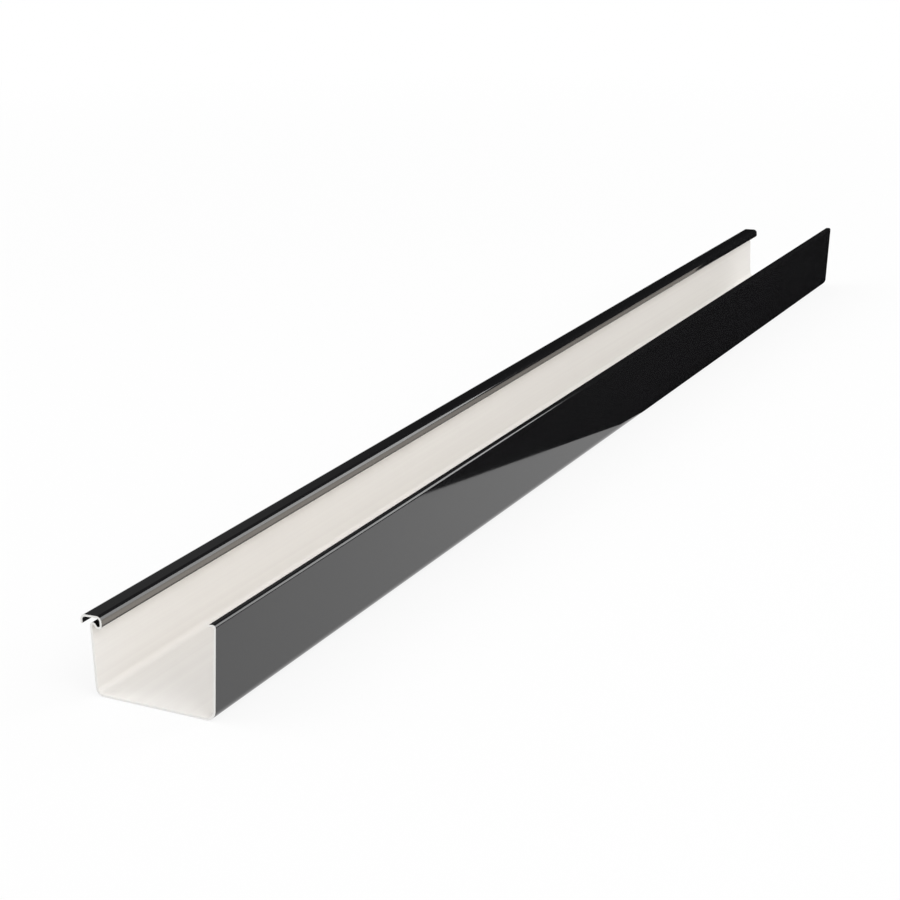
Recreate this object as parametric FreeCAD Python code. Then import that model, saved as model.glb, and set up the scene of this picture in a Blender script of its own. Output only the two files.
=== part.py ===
import FreeCAD, Part
from FreeCAD import Vector
import math
import os

# A stick of box gutter: one plastic profile, extruded to a constant section and sawn
# square at both ends. It stands on its flat bottom, with its length along X and its open
# side up. The tall back wall, at -Y, ends in a small lip. The lower front wall, at +Y,
# folds over into the channel, dips to the foot of a hook and rises again to carry a wide
# flat rim with a down-turned lip. The origin is the middle of the underside.

# Driving dimensions, in millimetres and degrees. Every bend is an inside radius.
LENGTH = 2000.0           # sawn length of the stick
WALL = 2.3                # thickness, the same all round the section
WALL_LEAN = 2.5           # each wall leans outwards from upright by this

BOTTOM_WIDTH = 140.4      # between the outer faces of the two walls, at the floor
BACK_FOOT_BEND = 9.2      # bottom to back wall
FRONT_FOOT_BEND = 7.2     # bottom to front wall

BACK_HEIGHT = 103.1       # floor to the corner of the back wall and its lip
BACK_TOP_BEND = 0.9       # back wall to its lip
BACK_LIP_REACH = 8.5      # outer face of the back wall to the tip of its lip
BACK_LIP_DROOP = 6.0      # the lip falls this much towards its tip

# The front rim is measured square to the front wall: "up" runs along the wall's outer
# face from the floor, and "out" runs away from the channel.
RIM_HEIGHT = 86.5         # up to the flat top of the rim
RIM_OVERHANG = 11.1       # outer face of the wall out to the outer face of the rim's lip
RIM_LIP_DEPTH = 10.0      # top of the rim down to the lower edge of its lip
RIM_FRONT_BEND = 3.5      # rim to its lip
RIM_BACK_BEND = 3.5       # hook to rim
HOOK_REACH = 14.2         # outer face of the wall in to the channel side of the hook
HOOK_FOOT_BEND = 2.1      # at the foot of the hook
FOLD_GAP = 4.9            # underside of the rim down to the crest of the fold
FOLD_SLOPE = 58.0         # the sheet falls this steeply from the fold to the hook
FOLD_BEND = 1.5           # front wall over to that slope

LEAST_STRAIGHT = 0.3      # always left between two bends that share a short run
HALF_WALL = WALL / 2


def back_wall_middle(height):
    """Point at this height on the middle of the back wall's thickness."""
    lean = math.radians(WALL_LEAN)
    across = HALF_WALL / math.cos(lean) - BOTTOM_WIDTH / 2 - height * math.tan(lean)
    return Vector(0, across, height)


def front_wall_point(out, up):
    """Point this far out from, and up along, the outer face of the front wall."""
    lean = math.radians(WALL_LEAN)
    across = BOTTOM_WIDTH / 2 + out * math.cos(lean) + up * math.sin(lean)
    return Vector(0, across, up * math.cos(lean) - out * math.sin(lean))


def back_corners():
    """Corners of the section's middle line, each with its bend, from the back lip down."""
    top = back_wall_middle(BACK_HEIGHT - HALF_WALL)
    lip_run = BACK_LIP_REACH - WALL
    lip_fall = lip_run * math.tan(math.radians(BACK_LIP_DROOP))
    return [
        (top + Vector(0, lip_run, -lip_fall), None),
        (top, BACK_TOP_BEND),
        (back_wall_middle(HALF_WALL), BACK_FOOT_BEND),
    ]


def front_corners():
    """Corners of the section's middle line, each with its bend, up to the rim's lip."""
    foot = back_wall_middle(HALF_WALL)
    rim_up = RIM_HEIGHT - HALF_WALL
    lip_out = RIM_OVERHANG - HALF_WALL
    lip_end_up = RIM_HEIGHT - RIM_LIP_DEPTH + HALF_WALL
    hook_out = HALF_WALL - HOOK_REACH
    slope = math.radians(FOLD_SLOPE)
    fold_crest = RIM_HEIGHT - WALL - FOLD_GAP
    # The corner stands above the crest of its bend by this share of the bend's radius.
    corner_rise = 1 / math.tan((math.pi / 2 - slope) / 2) - 1
    fold_up = fold_crest - HALF_WALL + (FOLD_BEND + HALF_WALL) * corner_rise
    hook_up = fold_up - (HOOK_REACH - WALL) * math.tan(slope)
    return [
        (Vector(0, -foot.y, foot.z), FRONT_FOOT_BEND),
        (front_wall_point(-HALF_WALL, fold_up), FOLD_BEND),
        (front_wall_point(hook_out, hook_up), HOOK_FOOT_BEND),
        (front_wall_point(hook_out, rim_up), RIM_BACK_BEND),
        (front_wall_point(lip_out, rim_up), RIM_FRONT_BEND),
        (front_wall_point(lip_out, lip_end_up), None),
    ]


def middle_line_radii(points, bends, half_angles):
    """Radius of each bend on the middle line, eased where two would overrun a short run."""
    radii = [bend + HALF_WALL for bend in bends]
    setbacks = [0] + [radius / math.tan(half) for radius, half in zip(radii, half_angles)] + [0]
    runs = [start.distanceToPoint(end) for start, end in zip(points, points[1:])]
    eases = [
        min(1, (run - LEAST_STRAIGHT) / (before + after))
        for run, before, after in zip(runs, setbacks, setbacks[1:])
    ]
    return [radius * min(pair) for radius, pair in zip(radii, zip(eases, eases[1:]))]


def rounded_line(corners):
    """Wire of straight runs and tangent arcs through the corners."""
    points = [point for point, bend in corners]
    bends = [bend for point, bend in corners[1:-1]]
    trios = list(zip(points, points[1:], points[2:]))
    half_angles = [(before - corner).getAngle(after - corner) / 2 for before, corner, after in trios]
    radii = middle_line_radii(points, bends, half_angles)
    edges = []
    start = points[0]
    for (before, corner, after), radius, half_angle in zip(trios, radii, half_angles):
        to_before = (before - corner).normalize()
        to_after = (after - corner).normalize()
        bisector = (to_before + to_after).normalize()
        first = corner + to_before * (radius / math.tan(half_angle))
        middle = corner + bisector * (radius / math.sin(half_angle) - radius)
        last = corner + to_after * (radius / math.tan(half_angle))
        edges.append(Part.LineSegment(start, first).toShape())
        edges.append(Part.Arc(first, middle, last).toShape())
        start = last
    edges.append(Part.LineSegment(start, points[-1]).toShape())
    return Part.Wire(edges)


def gutter_section():
    """The middle line, thickened to the wall with round tips and run along the length."""
    middle_line = rounded_line(back_corners() + front_corners())
    section = middle_line.makeOffset2D(HALF_WALL, 0, True)
    section.translate(Vector(-LENGTH / 2, 0, 0))
    return section.extrude(Vector(LENGTH, 0, 0))


os.makedirs("parts", exist_ok=True)
gutter = gutter_section()
gutter.exportStep("parts/gutter_section.step")
box = gutter.BoundBox
print("gutter_section:", gutter.ShapeType, "valid", gutter.isValid(), "volume", round(gutter.Volume))
print("length", round(box.XLength, 2), "width", round(box.YLength, 2), "height", round(box.ZLength, 2))
print("Y from", round(box.YMin, 2), "to", round(box.YMax, 2))
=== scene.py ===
# %% [markdown]
# # A stick of box gutter
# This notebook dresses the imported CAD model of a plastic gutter: one profile, two metres
# long, sawn square at both ends. The profile leaves its die with two plastics in it, a
# cream core and a thin gloss black skin. The skin covers the outside, the rim and the hook,
# and the cream shows in the channel and where the saw went through.
# The CAD model is the frame. It sets every size, and nothing here moves or stretches it.

# %% Load the frame
import math

import bmesh
import bpy
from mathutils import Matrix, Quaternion, Vector


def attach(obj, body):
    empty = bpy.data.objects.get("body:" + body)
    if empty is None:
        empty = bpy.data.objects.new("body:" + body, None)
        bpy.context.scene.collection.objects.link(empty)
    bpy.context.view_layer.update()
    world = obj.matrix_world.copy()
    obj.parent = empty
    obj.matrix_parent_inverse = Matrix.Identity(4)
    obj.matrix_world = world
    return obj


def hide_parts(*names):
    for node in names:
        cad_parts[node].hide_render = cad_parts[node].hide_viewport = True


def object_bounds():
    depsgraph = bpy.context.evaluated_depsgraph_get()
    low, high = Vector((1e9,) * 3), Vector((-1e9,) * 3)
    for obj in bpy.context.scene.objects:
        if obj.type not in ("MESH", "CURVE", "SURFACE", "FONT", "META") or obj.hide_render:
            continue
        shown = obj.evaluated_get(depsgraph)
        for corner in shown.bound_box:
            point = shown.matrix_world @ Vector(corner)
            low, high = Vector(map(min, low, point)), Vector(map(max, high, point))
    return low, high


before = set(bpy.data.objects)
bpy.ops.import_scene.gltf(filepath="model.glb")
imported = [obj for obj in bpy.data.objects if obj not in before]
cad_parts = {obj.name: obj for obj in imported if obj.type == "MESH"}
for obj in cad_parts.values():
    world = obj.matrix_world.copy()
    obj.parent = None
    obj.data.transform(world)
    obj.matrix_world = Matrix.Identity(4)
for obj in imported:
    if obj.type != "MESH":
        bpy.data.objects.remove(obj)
cad_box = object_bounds()
MM = 0.001
print("CAD box, mm:", [[round(c / MM, 1) for c in corner] for corner in cad_box])

# %% [markdown]
# ## The camera
# It stands off the near end, on the side of the tall back wall and above it, with a long
# lens, so that two metres of gutter run away from the eye without much distortion.

# %% Camera
camera = bpy.data.objects.new("camera", bpy.data.cameras.new("camera"))
camera.location = (-2.6167, -1.1303, 0.9079)
camera.rotation_euler = (math.radians(71.88), 0, math.radians(-63.55))
camera.data.lens = 86.33
camera.data.sensor_width = 36
bpy.context.collection.objects.link(camera)
bpy.context.scene.camera = camera
bpy.context.scene.view_settings.view_transform = "Standard"
print("camera lens", camera.data.lens, "mm")

# %% [markdown]
# ## The section, bend by bend
# The profile could be drawn as one outline, but then every bend has to be drawn twice, once
# for each face of the sheet. It is easier to follow the middle of the sheet, as if one
# strip were being folded: run straight, bend, run straight again. One vertex walks the
# section. Extruding it leaves an edge behind it, and spinning it about the middle of a bend
# leaves an arc. The sheet gets its thickness afterwards.
#
# Two things help the light. A straight run has a very short edge at each end, so that
# smooth shading stays flat right up to the bend. And the arcs are cut finely, because a
# gloss surface shows every facet.

# %% Driving sizes of the section
# The same sizes as the CAD model has. Every bend is an inside radius.
WALL = 2.3 * MM
HALF_WALL = WALL / 2
WALL_LEAN = math.radians(2.5)
BOTTOM_WIDTH = 140.4 * MM
BACK_FOOT_BEND = 9.2 * MM
FRONT_FOOT_BEND = 7.2 * MM

BACK_HEIGHT = 103.1 * MM
BACK_TOP_BEND = 0.9 * MM
BACK_LIP_REACH = 8.5 * MM
BACK_LIP_DROOP = math.radians(6)

RIM_HEIGHT = 86.5 * MM
RIM_OVERHANG = 11.1 * MM
RIM_LIP_DEPTH = 10 * MM
RIM_FRONT_BEND = 3.5 * MM
RIM_BACK_BEND = 3.5 * MM
HOOK_REACH = 14.2 * MM
HOOK_FOOT_BEND = 2.1 * MM
FOLD_GAP = 4.9 * MM
FOLD_SLOPE = math.radians(58)
FOLD_BEND = 1.5 * MM
near_end, far_end = cad_box[0].x, cad_box[1].x
print("the wall is", round(WALL / MM, 1), "mm thick")
print("the bottom is", round(BOTTOM_WIDTH / MM, 1), "mm wide")

# %% Corners of the channel
# The corners lie on the middle of the sheet's thickness, at the near end.


def back_wall_middle(height):
    """A point at this height on the middle of the back wall's thickness."""
    across = HALF_WALL / math.cos(WALL_LEAN) - BOTTOM_WIDTH / 2 - height * math.tan(WALL_LEAN)
    return Vector((near_end, across, height))


def front_wall_point(out, up):
    """A point this far out from, and up along, the outer face of the front wall."""
    across = BOTTOM_WIDTH / 2 + out * math.cos(WALL_LEAN) + up * math.sin(WALL_LEAN)
    return Vector((near_end, across, up * math.cos(WALL_LEAN) - out * math.sin(WALL_LEAN)))


back_top = back_wall_middle(BACK_HEIGHT - HALF_WALL)
lip_run = BACK_LIP_REACH - WALL
back_lip_tip = back_top + Vector((0, lip_run, -lip_run * math.tan(BACK_LIP_DROOP)))
back_foot = back_wall_middle(HALF_WALL)
front_foot = Vector((near_end, -back_foot.y, back_foot.z))
# The fold's corner stands above the crest of its bend by this share of the bend's radius.
corner_rise = 1 / math.tan((math.pi / 2 - FOLD_SLOPE) / 2) - 1
fold_crest = RIM_HEIGHT - WALL - FOLD_GAP
fold_up = fold_crest - HALF_WALL + (FOLD_BEND + HALF_WALL) * corner_rise
fold = front_wall_point(-HALF_WALL, fold_up)
print("the fold's corner is", round(fold.z / MM, 1), "mm above the floor")

# %% Corners of the hook rim
hook_out = HALF_WALL - HOOK_REACH
rim_up = RIM_HEIGHT - HALF_WALL
lip_out = RIM_OVERHANG - HALF_WALL
hook_foot = front_wall_point(hook_out, fold_up - (HOOK_REACH - WALL) * math.tan(FOLD_SLOPE))
corners = [
    (back_lip_tip, None),
    (back_top, BACK_TOP_BEND),
    (back_foot, BACK_FOOT_BEND),
    (front_foot, FRONT_FOOT_BEND),
    (fold, FOLD_BEND),
    (hook_foot, HOOK_FOOT_BEND),
    (front_wall_point(hook_out, rim_up), RIM_BACK_BEND),
    (front_wall_point(lip_out, rim_up), RIM_FRONT_BEND),
    (front_wall_point(lip_out, RIM_HEIGHT - RIM_LIP_DEPTH + HALF_WALL), None),
]
print(len(corners) - 2, "bends between the back lip's tip and the rim's")

# %% Walk the middle of the sheet
DEGREES_A_STEP = 4
# A turn of exactly a whole number of steps must not gain one from rounding.
STEP_MARGIN = 0.01
# The skin begins again this many degrees before the hook's foot has finished its turn.
SKIN_TURN = 28
SHORT_EDGE = 0.15 * MM
# The edge at a tip is long enough to hold the tip's half circle.
TIP_EDGE = HALF_WALL + SHORT_EDGE


def walk_straight(bm, vert, end, first=SHORT_EDGE, last=SHORT_EDGE):
    """Extrude the vertex to the end of a straight run, with a short edge at each end."""
    way = (end - vert.co).normalized()
    for stop in (vert.co + way * first, end - way * last, end):
        vert = bmesh.ops.extrude_vert_indiv(bm, verts=[vert])["verts"][0]
        vert.co = stop
    return vert


def walk_bend(bm, vert, corner, after, radius, first):
    """Go straight to the start of the bend at this corner, then spin round it."""
    arriving, leaving = (corner - vert.co).normalized(), (after - corner).normalized()
    turn = math.copysign(arriving.angle(leaving), arriving.cross(leaving).x)
    vert = walk_straight(bm, vert, corner - arriving * radius * math.tan(abs(turn) / 2), first)
    to_middle = Vector((1, 0, 0)).cross(arriving) * math.copysign(radius, turn)
    steps = math.ceil(math.degrees(abs(turn)) / DEGREES_A_STEP - STEP_MARGIN)
    spun = bmesh.ops.spin(bm, geom=[vert], cent=vert.co + to_middle, axis=(1, 0, 0),
                          angle=turn, steps=steps, use_merge=False, use_duplicate=False)
    return spun["geom_last"][0]


def tip_end(middle, before):
    """Where a round tip ends: half a thickness past the end of the middle line."""
    return middle + (middle - before).normalized() * HALF_WALL


bm = bmesh.new()
vert = bm.verts.new(tip_end(back_lip_tip, back_top))
first = TIP_EDGE
for (corner, bend), (after, _) in zip(corners[1:], corners[2:]):
    vert = walk_bend(bm, vert, corner, after, bend + HALF_WALL, first)
    first = SHORT_EDGE
    if corner is hook_foot:
        cream_edges = set(list(bm.edges)[:-SKIN_TURN // DEGREES_A_STEP])
walk_straight(bm, vert, tip_end(corners[-1][0], corners[-2][0]), last=TIP_EDGE)
girth = sum(edge.calc_length() for edge in bm.edges)
print("the sheet is", round(girth / MM, 1), "mm wide before it is folded")
print("its middle line has", len(bm.edges), "edges")

# %% [markdown]
# ## From a line to a sheet with thickness
# The section is the same all the way along, as on anything that comes out of a die, so one
# extrusion along X makes the sheet. Solidify thickens a sheet to one side only, so the
# sheet first moves half a thickness towards the channel. Solidify then puts the other face
# a whole thickness behind it, and closes the ends.
#
# The plastic is chosen face by face at the same time. Slot 0 is the black skin, slot 1 is
# the cream of the channel and slot 2 is the sawn core.

# %% Extrude and thicken
SKIN, LINING, CORE = 0, 1, 2

made = bmesh.ops.extrude_edge_only(bm, edges=bm.edges[:])["geom"]
bmesh.ops.translate(bm, verts=[item for item in made if isinstance(item, bmesh.types.BMVert)],
                    vec=(far_end - near_end, 0, 0))
bm.normal_update()
sheet = set(bm.faces)
for face in sheet:
    face.material_index = LINING if any(edge in cream_edges for edge in face.edges) else SKIN
moves = [(vert, vert.normal * vert.calc_shell_factor() * HALF_WALL) for vert in bm.verts]
for vert, move in moves:
    vert.co += move
bm.normal_update()
made = bmesh.ops.solidify(bm, geom=bm.faces[:], thickness=WALL)["geom"]
outside = {item for item in made if isinstance(item, bmesh.types.BMFace)}
for face in bm.faces:
    if face not in sheet:
        face.material_index = SKIN
bm.normal_update()
edge_faces = set(bm.faces) - sheet - outside
print(len(sheet), "faces inside,", len(outside), "outside and", len(edge_faces), "round the edges")

# %% [markdown]
# ## Tips and saw cuts
# The two long edges of the sheet are full-round, as they come from the die: a bevel of
# almost half the thickness on both corners of a tip, each in ten steps, makes it a half
# circle. The edge beside a tip has to be longer than that, or the bevel is cut short.
#
# Last comes a very small bevel round each saw cut, where the burr was wiped off. The skin is
# thinner than that bevel, so the cut looks pale right out to its edge, and the bevel takes
# the core's colour.

# %% Round the tips and trim the saw cuts
TIP_SHARE = 0.995
TIP_STEPS = 10
BURR = 0.10 * MM
BURR_STEPS = 2
SAME_PLACE = 0.001 * MM
# Only the edges that run the whole length are longer than this, in metres.
LONG_EDGE = 1


def faces_an_end(face):
    """Whether a face looks along the gutter, as the two saw cuts do."""
    return abs(face.normal.x) > 0.9


tips = [face for face in edge_faces if not faces_an_end(face)]
tip_edges = [edge for face in tips for edge in face.edges if edge.calc_length() > LONG_EDGE]
bmesh.ops.bevel(bm, geom=tip_edges, offset=HALF_WALL * TIP_SHARE, offset_type="OFFSET",
                segments=TIP_STEPS, profile=0.5, affect="EDGES", material=-1, clamp_overlap=True)
bm.normal_update()
ends = [face for face in bm.faces if faces_an_end(face)]
for face in ends:
    face.material_index = CORE
cut_edges = [edge for edge in bm.edges if len({faces_an_end(f) for f in edge.link_faces}) == 2]
burrs = bmesh.ops.bevel(bm, geom=cut_edges, offset=BURR, offset_type="OFFSET",
                        segments=BURR_STEPS, profile=0.5, affect="EDGES", material=-1,
                        clamp_overlap=True)["faces"]
for face in burrs:
    face.material_index = CORE
bmesh.ops.remove_doubles(bm, verts=bm.verts[:], dist=SAME_PLACE)
bm.normal_update()
print(len(tips), "tips rounded,", len(burrs), "faces round the two cuts")

# %% Make the piece
gutter_mesh = bpy.data.meshes.new("gutter")
bm.to_mesh(gutter_mesh)
open_edges = sum(1 for edge in bm.edges if not edge.is_manifold)
triangles = sum(len(face.verts) - 2 for face in bm.faces)
bm.free()
for polygon in gutter_mesh.polygons:
    polygon.use_smooth = True
# The round tips turn 9 degrees a step and stay smooth. The burr turns 22.5 degrees or more,
# and is kept sharp, because smoothing it would tilt the light along the whole two metres.
SHARP = math.radians(20)
gutter_mesh.set_sharp_from_angle(angle=SHARP)
gutter = bpy.data.objects.new("gutter", gutter_mesh)
bpy.context.collection.objects.link(gutter)
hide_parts("gutter_section")
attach(gutter, "root")
print(triangles, "triangles,", open_edges, "open edges")

# %% [markdown]
# ## Finishes
# Nothing here is a picture. Every finish is a few nodes on the object's own coordinates,
# which are in metres, so a pattern's size can be worked out from the real thing. Two small
# helpers do the work: one turns a colour as it is written on a paint chart into the linear
# light that Blender mixes, and one adds a node with its settings and links.

# %% Helpers for the finishes


def paint(hex_colour):
    """An sRGB hex colour as linear RGBA."""
    channels = [int(hex_colour[i:i + 2], 16) / 255 for i in (1, 3, 5)]
    return [c / 12.92 if c <= 0.04045 else ((c + 0.055) / 1.055) ** 2.4 for c in channels] + [1]


def add(tree, kind, inputs=(), links=(), **settings):
    """Add a node, set it up, and link (output, input) pairs into it."""
    node = tree.nodes.new(kind)
    for name, value in settings.items():
        setattr(node, name, value)
    for name, value in dict(inputs).items():
        node.inputs[name].default_value = value
    for output, name in links:
        tree.links.new(output, node.inputs[name])
    return node


def new_material(name):
    """A material with an empty tree, its surface shader and its object coordinates."""
    material = bpy.data.materials.new(name)
    material.use_nodes = True
    tree = material.node_tree
    tree.nodes.clear()
    shader = add(tree, "ShaderNodeBsdfPrincipled")
    add(tree, "ShaderNodeOutputMaterial", links=[(shader.outputs[0], "Surface")])
    place = add(tree, "ShaderNodeTexCoord").outputs["Object"]
    return material, tree, shader, place


BLACK = "#19191A"
# Noise seldom goes below or above these, so a pattern is spread between them.
NOISE_LOW, NOISE_HIGH = 0.3, 0.7
print("black skin", [round(c, 4) for c in paint(BLACK)])

# %% [markdown]
# ## Gloss black skin, co-extruded PVC
# The skin meets the polished lips of the die last, so it comes out like black glass, with a
# mirror image of whatever stands round it. Two things give it away as plastic. Die lines
# run the whole length: they are a few thousandths of a millimetre deep and a millimetre or
# two apart. And the gloss varies a little in clouds the size of a hand.

# %% Black skin
DIE_LINE = 1.6 * MM
DIE_LINE_LENGTH = 1.4
HAZE_CLOUD = 120 * MM

black_skin, tree, shader, place = new_material("gloss_black_pvc")
shader.inputs["Base Color"].default_value = paint(BLACK)
shader.inputs["IOR"].default_value = 1.56
drawn = add(tree, "ShaderNodeMapping", {"Scale": (1 / DIE_LINE_LENGTH, 1 / DIE_LINE, 1 / DIE_LINE)},
            [(place, "Vector")])
lines = add(tree, "ShaderNodeTexNoise", {"Scale": 1, "Detail": 3, "Roughness": 0.6},
            [(drawn.outputs[0], "Vector")])
bump = add(tree, "ShaderNodeBump", {"Strength": 0.03, "Distance": 0.02 * MM},
           [(lines.outputs[0], "Height")])
haze = add(tree, "ShaderNodeTexNoise", {"Scale": 1 / HAZE_CLOUD, "Detail": 2}, [(place, "Vector")])
gloss = add(tree, "ShaderNodeMapRange",
            {"From Min": NOISE_LOW, "From Max": NOISE_HIGH, "To Min": 0.045, "To Max": 0.08},
            [(haze.outputs[0], "Value")])
tree.links.new(gloss.outputs[0], shader.inputs["Roughness"])
tree.links.new(bump.outputs[0], shader.inputs["Normal"])
print("die lines", round(DIE_LINE / MM, 1), "mm apart")

# %% [markdown]
# ## Cream lining, co-extruded PVC
# Inside the channel there is no skin. The core's own surface shows, a warm off-white with a
# satin finish, because it cools against the air and not against polished steel. It carries
# the same die lines, softer and wider, and a trace of uneven colour along the length.

# %% Cream lining
FLOW_LINE = 5 * MM
FLOW_LINE_LENGTH = 0.9

cream_lining, tree, shader, place = new_material("satin_cream_pvc")
shader.inputs["IOR"].default_value = 1.53
drawn = add(tree, "ShaderNodeMapping",
            {"Scale": (1 / FLOW_LINE_LENGTH, 1 / FLOW_LINE, 1 / FLOW_LINE)}, [(place, "Vector")])
lines = add(tree, "ShaderNodeTexNoise", {"Scale": 1, "Detail": 4, "Roughness": 0.6},
            [(drawn.outputs[0], "Vector")])
tone = add(tree, "ShaderNodeValToRGB", links=[(lines.outputs[0], "Fac")])
tone.color_ramp.elements[0].position = NOISE_LOW
tone.color_ramp.elements[0].color = paint("#E2DFDC")
tone.color_ramp.elements[1].position = NOISE_HIGH
tone.color_ramp.elements[1].color = paint("#E6E4E0")
bump = add(tree, "ShaderNodeBump", {"Strength": 0.08, "Distance": 0.05 * MM},
           [(lines.outputs[0], "Height")])
satin = add(tree, "ShaderNodeMapRange",
            {"From Min": NOISE_LOW, "From Max": NOISE_HIGH, "To Min": 0.54, "To Max": 0.62},
            [(lines.outputs[0], "Value")])
tree.links.new(tone.outputs[0], shader.inputs["Base Color"])
tree.links.new(satin.outputs[0], shader.inputs["Roughness"])
tree.links.new(bump.outputs[0], shader.inputs["Normal"])
print("flow lines", round(FLOW_LINE / MM, 1), "mm apart")

# %% [markdown]
# ## The saw cut
# A circular saw leaves shallow arcs across the core, as wide apart as it moves on from one
# tooth to the next, and turns the cut a little paler and duller than the moulded surface.

# %% Sawn core
TOOTH_MARK = 0.9 * MM
SAW_CENTRE = (0, 0.02, -0.09)
# At scale 1 a ring pattern turns through this many radians in a metre.
RING_TURN = 20

sawn_core, tree, shader, place = new_material("sawn_pvc_core")
shader.inputs["IOR"].default_value = 1.53
shader.inputs["Roughness"].default_value = 0.6
centred = add(tree, "ShaderNodeMapping", {"Location": [-c for c in SAW_CENTRE]},
              [(place, "Vector")])
arcs = add(tree, "ShaderNodeTexWave",
           {"Scale": 2 * math.pi / (RING_TURN * TOOTH_MARK), "Distortion": 1.5, "Detail": 2},
           [(centred.outputs[0], "Vector")], wave_type="RINGS", rings_direction="X")
tone = add(tree, "ShaderNodeValToRGB", links=[(arcs.outputs["Fac"], "Fac")])
tone.color_ramp.elements[0].color = paint("#DFDEDB")
tone.color_ramp.elements[1].color = paint("#E8E7E4")
bump = add(tree, "ShaderNodeBump", {"Strength": 0.4, "Distance": 0.03 * MM},
           [(arcs.outputs["Fac"], "Height")])
tree.links.new(tone.outputs[0], shader.inputs["Base Color"])
tree.links.new(bump.outputs[0], shader.inputs["Normal"])
for material in (black_skin, cream_lining, sawn_core):
    gutter_mesh.materials.append(material)
print("slots", [material.name for material in gutter_mesh.materials])

# %% [markdown]
# ## The studio
# The floor is pale and has no edge in sight. To the camera it is nearly pure white, and
# round the gutter it still shows a soft shadow. The world is white too. It lights everything
# softly from all round, and less from beyond the far end.

# %% Plain white where it is seen


def seen_white(tree, lit, white, share):
    """Mix a share of plain white, an output, into a lit shader where it is seen or reflected."""
    path = add(tree, "ShaderNodeLightPath")
    seen = add(tree, "ShaderNodeMath", links=[(path.outputs["Is Camera Ray"], 0),
                                             (path.outputs["Is Glossy Ray"], 1)],
               operation="MAXIMUM")
    seen = add(tree, "ShaderNodeMath", links=[(seen.outputs[0], 0),
                                             (path.outputs["Is Transmission Ray"], 1)],
               operation="MAXIMUM")
    amount = add(tree, "ShaderNodeMath", links=[(seen.outputs[0], 0), (share, 1)],
                 operation="MULTIPLY")
    return add(tree, "ShaderNodeMixShader",
               links=[(amount.outputs[0], 0), (lit, 1), (white, 2)]).outputs[0]


# %% The floor
FLOOR_REACH = 30
FLOOR_DROP = 0.4 * MM
# Metres from the middle of the gutter to where the white begins to rise, and is whole.
WHITE_RISES, WHITE_WHOLE = 1.3, 3.5
WHITE_CLOSE_BY = 0.87

floor_mesh = bpy.data.meshes.new("floor")
bm = bmesh.new()
bmesh.ops.create_grid(bm, x_segments=1, y_segments=1, size=FLOOR_REACH)
bmesh.ops.translate(bm, verts=bm.verts[:], vec=(0, 0, -FLOOR_DROP))
bm.to_mesh(floor_mesh)
bm.free()
floor = bpy.data.objects.new("floor", floor_mesh)
bpy.context.collection.objects.link(floor)
pale_paper = bpy.data.materials.new("pale_paper")
pale_paper.use_nodes = True
tree = pale_paper.node_tree
tree.nodes.clear()
lit = add(tree, "ShaderNodeBsdfDiffuse", {"Color": paint("#E4E4E4")})
white = add(tree, "ShaderNodeEmission", {"Strength": 1.0})
place = add(tree, "ShaderNodeTexCoord").outputs["Object"]
away = add(tree, "ShaderNodeVectorMath", links=[(place, 0)], operation="LENGTH")
share = add(tree, "ShaderNodeMapRange",
            {"From Min": WHITE_RISES, "From Max": WHITE_WHOLE, "To Min": WHITE_CLOSE_BY, "To Max": 1},
            [(away.outputs["Value"], "Value")])
add(tree, "ShaderNodeOutputMaterial",
    links=[(seen_white(tree, lit.outputs[0], white.outputs[0], share.outputs[0]), "Surface")])
floor_mesh.materials.append(pale_paper)
print("floor reaches", FLOOR_REACH, "m each way")

# %% The world
LIGHT_FROM_NEAR, LIGHT_FROM_FAR = 0.98, 0.22

world = bpy.data.worlds.new("white_room")
bpy.context.scene.world = world
world.use_nodes = True
tree = world.node_tree
tree.nodes.clear()
soft = add(tree, "ShaderNodeBackground", {"Color": paint("#FFFFFF")})
plain = add(tree, "ShaderNodeBackground", {"Color": paint("#FFFFFF"), "Strength": 1})
way = add(tree, "ShaderNodeSeparateXYZ",
          links=[(add(tree, "ShaderNodeTexCoord").outputs["Generated"], "Vector")])
dimming = add(tree, "ShaderNodeMapRange",
              {"From Min": -1, "From Max": 1, "To Min": LIGHT_FROM_NEAR, "To Max": LIGHT_FROM_FAR},
              [(way.outputs["X"], "Value")])
tree.links.new(dimming.outputs[0], soft.inputs["Strength"])
whole = add(tree, "ShaderNodeValue")
whole.outputs[0].default_value = 1
add(tree, "ShaderNodeOutputWorld",
    links=[(seen_white(tree, soft.outputs[0], plain.outputs[0], whole.outputs[0]), "Surface")])
print("soft light", LIGHT_FROM_NEAR, "from the near end,", LIGHT_FROM_FAR, "from the far end")

# %% [markdown]
# ## Flags that only reflections see
# Black gloss has almost no colour of its own: it looks like what it reflects. Between two
# white walls it would turn grey all over. So it is shown as black glassware is, with black
# flags round it that only its reflections see. Each is an ordinary mesh that no ray but a
# glossy one can meet, with a light of its own that is off unless something turns it on.

# %% Make a flag


def only_in_reflections(name, bm):
    """Make a stage object that only glossy rays meet. Return its nodes and its glow."""
    mesh = bpy.data.meshes.new(name)
    bm.to_mesh(mesh)
    bm.free()
    flag = bpy.data.objects.new(name, mesh)
    bpy.context.collection.objects.link(flag)
    flag.visible_camera = flag.visible_diffuse = flag.visible_shadow = False
    flag.visible_transmission = flag.visible_volume_scatter = False
    cloth = bpy.data.materials.new(name)
    cloth.use_nodes = True
    cloth.node_tree.nodes.clear()
    glow = add(cloth.node_tree, "ShaderNodeEmission", {"Color": paint("#FFFFFF"), "Strength": 0})
    add(cloth.node_tree, "ShaderNodeOutputMaterial", links=[(glow.outputs[0], "Surface")])
    mesh.materials.append(cloth)
    return cloth.node_tree, glow


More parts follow.
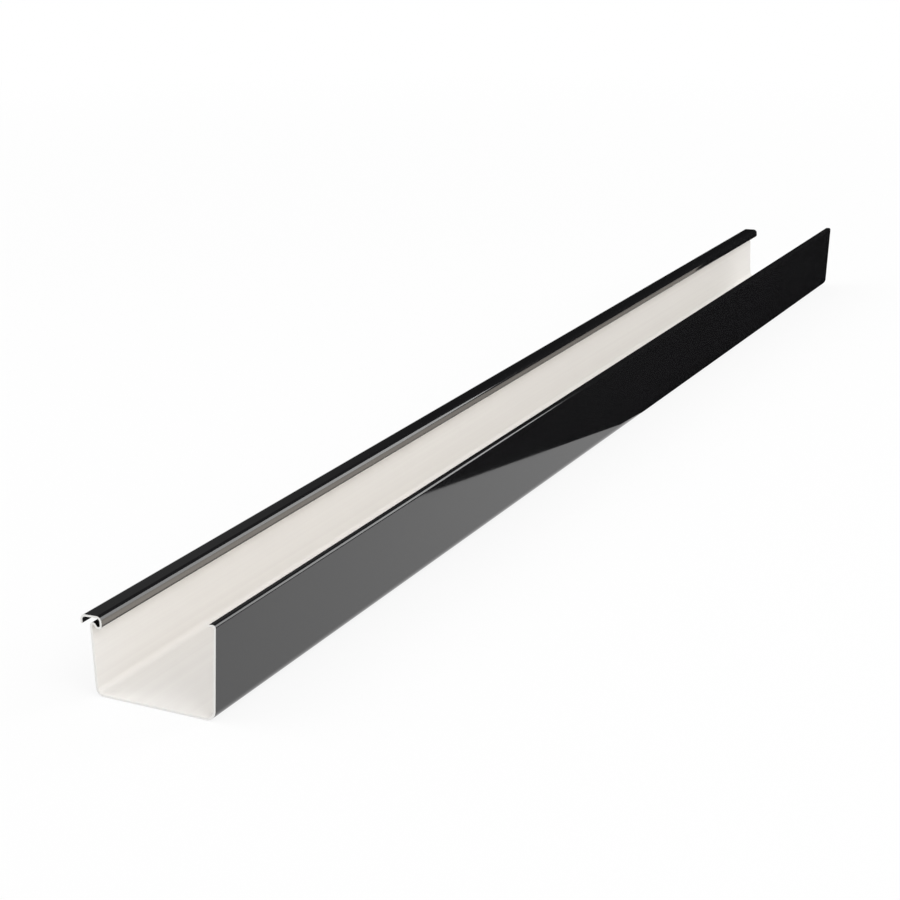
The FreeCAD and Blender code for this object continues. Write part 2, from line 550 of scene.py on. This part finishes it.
# %% [markdown]
# ## The floor flag
# It lies on the floor beyond a slanting line in front of the tall wall. Short of the line
# the wall mirrors the white floor, and is grey. Past the line it mirrors the flag, and is
# black. The flag stops under the channel, and runs on past the far end.

# %% Floor flag
FLAG_SLOPE = 0.2453
FLAG_START = -0.1004
FLAG_STOP = -55 * MM
PAST_END = far_end + 15 * MM
FLAG_NEAR, FLAG_FAR, FLAG_FRONT = -6, 8, -8
BEHIND_THE_END, BEHIND_FAR_OFF = 0.6, 2.4
FLAG_LEVEL = -0.2 * MM

bm = bmesh.new()
flag_corners = [bm.verts.new((x, y, FLAG_LEVEL)) for x, y in
                ((FLAG_NEAR, FLAG_SLOPE * FLAG_NEAR + FLAG_START),
                 ((FLAG_STOP - FLAG_START) / FLAG_SLOPE, FLAG_STOP),
                 (PAST_END, FLAG_STOP), (PAST_END, BEHIND_THE_END),
                 (FLAG_FAR, BEHIND_FAR_OFF), (FLAG_FAR, FLAG_FRONT), (FLAG_NEAR, FLAG_FRONT))]
bm.faces.new(flag_corners)
only_in_reflections("floor_flag", bm)
print("flag starts", round(-FLAG_START / MM), "mm in front of the middle of the gutter")

# %% [markdown]
# ## The tent
# A dark tent stands round everything else. On the rim's side it glows a little, and close to
# the floor it is white there, as if it stopped short, so the rim's outer bend has a paler edge.

# %% Tent
TENT_RADIUS = 14
TENT_GLOW = 0.085
# Shares of the radius: where the glow starts and is whole, and where the gap does.
GLOW_STARTS, GLOW_WHOLE = 0.468, 0.57
GAP_STARTS, GAP_WHOLE = 0.105, 0.05
GAP_SIDE = 0.1

bm = bmesh.new()
bmesh.ops.create_icosphere(bm, subdivisions=4, radius=TENT_RADIUS)
tree, glow = only_in_reflections("tent", bm)
place = add(tree, "ShaderNodeTexCoord").outputs["Object"]
sides = add(tree, "ShaderNodeSeparateXYZ", links=[(place, "Vector")])
dim = add(tree, "ShaderNodeMapRange",
          {"From Min": GLOW_STARTS * TENT_RADIUS, "From Max": GLOW_WHOLE * TENT_RADIUS,
           "To Min": 0, "To Max": TENT_GLOW}, [(sides.outputs["Y"], "Value")])
low = add(tree, "ShaderNodeMapRange",
          {"From Min": GAP_STARTS * TENT_RADIUS, "From Max": GAP_WHOLE * TENT_RADIUS,
           "To Min": 0, "To Max": 1}, [(sides.outputs["Z"], "Value")])
beyond = add(tree, "ShaderNodeMapRange",
             {"From Min": 0, "From Max": GAP_SIDE * TENT_RADIUS, "To Min": 0, "To Max": 1},
             [(sides.outputs["Y"], "Value")])
gap = add(tree, "ShaderNodeMath", links=[(low.outputs[0], 0), (beyond.outputs[0], 1)],
          operation="MULTIPLY")
total = add(tree, "ShaderNodeMath", links=[(dim.outputs[0], 0), (gap.outputs[0], 1)],
            operation="ADD")
tree.links.new(total.outputs[0], glow.inputs["Strength"])
print("tent", TENT_RADIUS, "m in radius")

# %% [markdown]
# ## The channel card, a painted reflection
# A glowing card stands in the channel behind the tall wall and faces the hook. It is no lamp and
# lights nothing: only the hook's mirror sees it, as a painted pale reflection down its black side.
# It is brightest at the near end. Its back is clear, so the wall behind it mirrors none.

# %% Channel card
CARD_PLACE = -58 * MM
CARD_FOOT, CARD_TOP = 3 * MM, 100 * MM
CARD_STEP, CARD_STEP_TOP = 0.25, 65 * MM
CARD_END_TOP = 60 * MM
CARD_FADES_FROM, CARD_FADES_TO = -0.8, 0.9
CARD_LEAST, CARD_EXTRA = 1, 1.5

bm = bmesh.new()
bm.faces.new([bm.verts.new((x, CARD_PLACE, z)) for x, z in
              ((far_end, CARD_FOOT), (near_end, CARD_FOOT), (near_end, CARD_TOP), (0, CARD_TOP),
               (CARD_STEP, CARD_STEP_TOP), (far_end, CARD_END_TOP))])
tree, glow = only_in_reflections("painted_reflection_card", bm)
place = add(tree, "ShaderNodeTexCoord").outputs["Object"]
sides = add(tree, "ShaderNodeSeparateXYZ", links=[(place, "Vector")])
# The card's glow, a painted reflection on the hook, fades from the near end to the far end.
near = add(tree, "ShaderNodeMapRange",
           {"From Min": CARD_FADES_TO, "From Max": CARD_FADES_FROM, "To Min": 0, "To Max": 1},
           [(sides.outputs["X"], "Value")])
squared = add(tree, "ShaderNodeMath", {1: 2}, [(near.outputs[0], 0)], operation="POWER")
bright = add(tree, "ShaderNodeMath", {1: CARD_EXTRA, 2: CARD_LEAST}, [(squared.outputs[0], 0)],
             operation="MULTIPLY_ADD")
tree.links.new(bright.outputs[0], glow.inputs["Strength"])
glow.inputs["Color"].default_value = paint("#FFF6EA")
clear = add(tree, "ShaderNodeBsdfTransparent")
back = add(tree, "ShaderNodeNewGeometry").outputs["Backfacing"]
shown = add(tree, "ShaderNodeMixShader",
            links=[(back, 0), (glow.outputs[0], 1), (clear.outputs[0], 2)])
output = [node for node in tree.nodes if node.type == "OUTPUT_MATERIAL"][0]
tree.links.new(shown.outputs[0], output.inputs["Surface"])
print("card", round((CARD_TOP - CARD_FOOT) / MM), "mm high at the near end")

# %% [markdown]
# ## Lamps
# All of them are soft boxes that face the gutter. The strip box stands off the far end and
# is rolled, so that its reflection draws the thin bright lines along the bends. Three wide
# ones light the cream: one on each side, a little towards the near end, and one overhead.

# %% Lamps


def soft_box(name, azimuth, elevation, distance, width, height, radiance, roll=0):
    """An area lamp that faces the object: azimuth from +X towards -Y, in degrees."""
    lamp = bpy.data.lights.new(name, "AREA")
    lamp.shape = "RECTANGLE"
    lamp.size, lamp.size_y = width, height
    lamp.energy = radiance * math.pi * width * height
    box = bpy.data.objects.new(name, lamp)
    turn, lift = math.radians(azimuth), math.radians(elevation)
    way = Vector((math.cos(lift) * math.cos(turn), -math.cos(lift) * math.sin(turn), math.sin(lift)))
    box.location = way * distance
    facing = way.to_track_quat("Z", "Y") @ Quaternion((0, 0, 1), math.radians(roll))
    box.rotation_euler = facing.to_euler()
    box.visible_camera = False
    bpy.context.collection.objects.link(box)


soft_box("strip_box", azimuth=38.2, elevation=22.8, distance=6, width=2.77, height=4.8,
         radiance=3.5, roll=-32)
soft_box("front_fill", azimuth=120, elevation=44, distance=5, width=3, height=3, radiance=2.45)
soft_box("back_fill", azimuth=240, elevation=45, distance=5, width=3, height=3, radiance=2.4)
soft_box("top_fill", azimuth=90, elevation=89, distance=5, width=4, height=4, radiance=0.9)
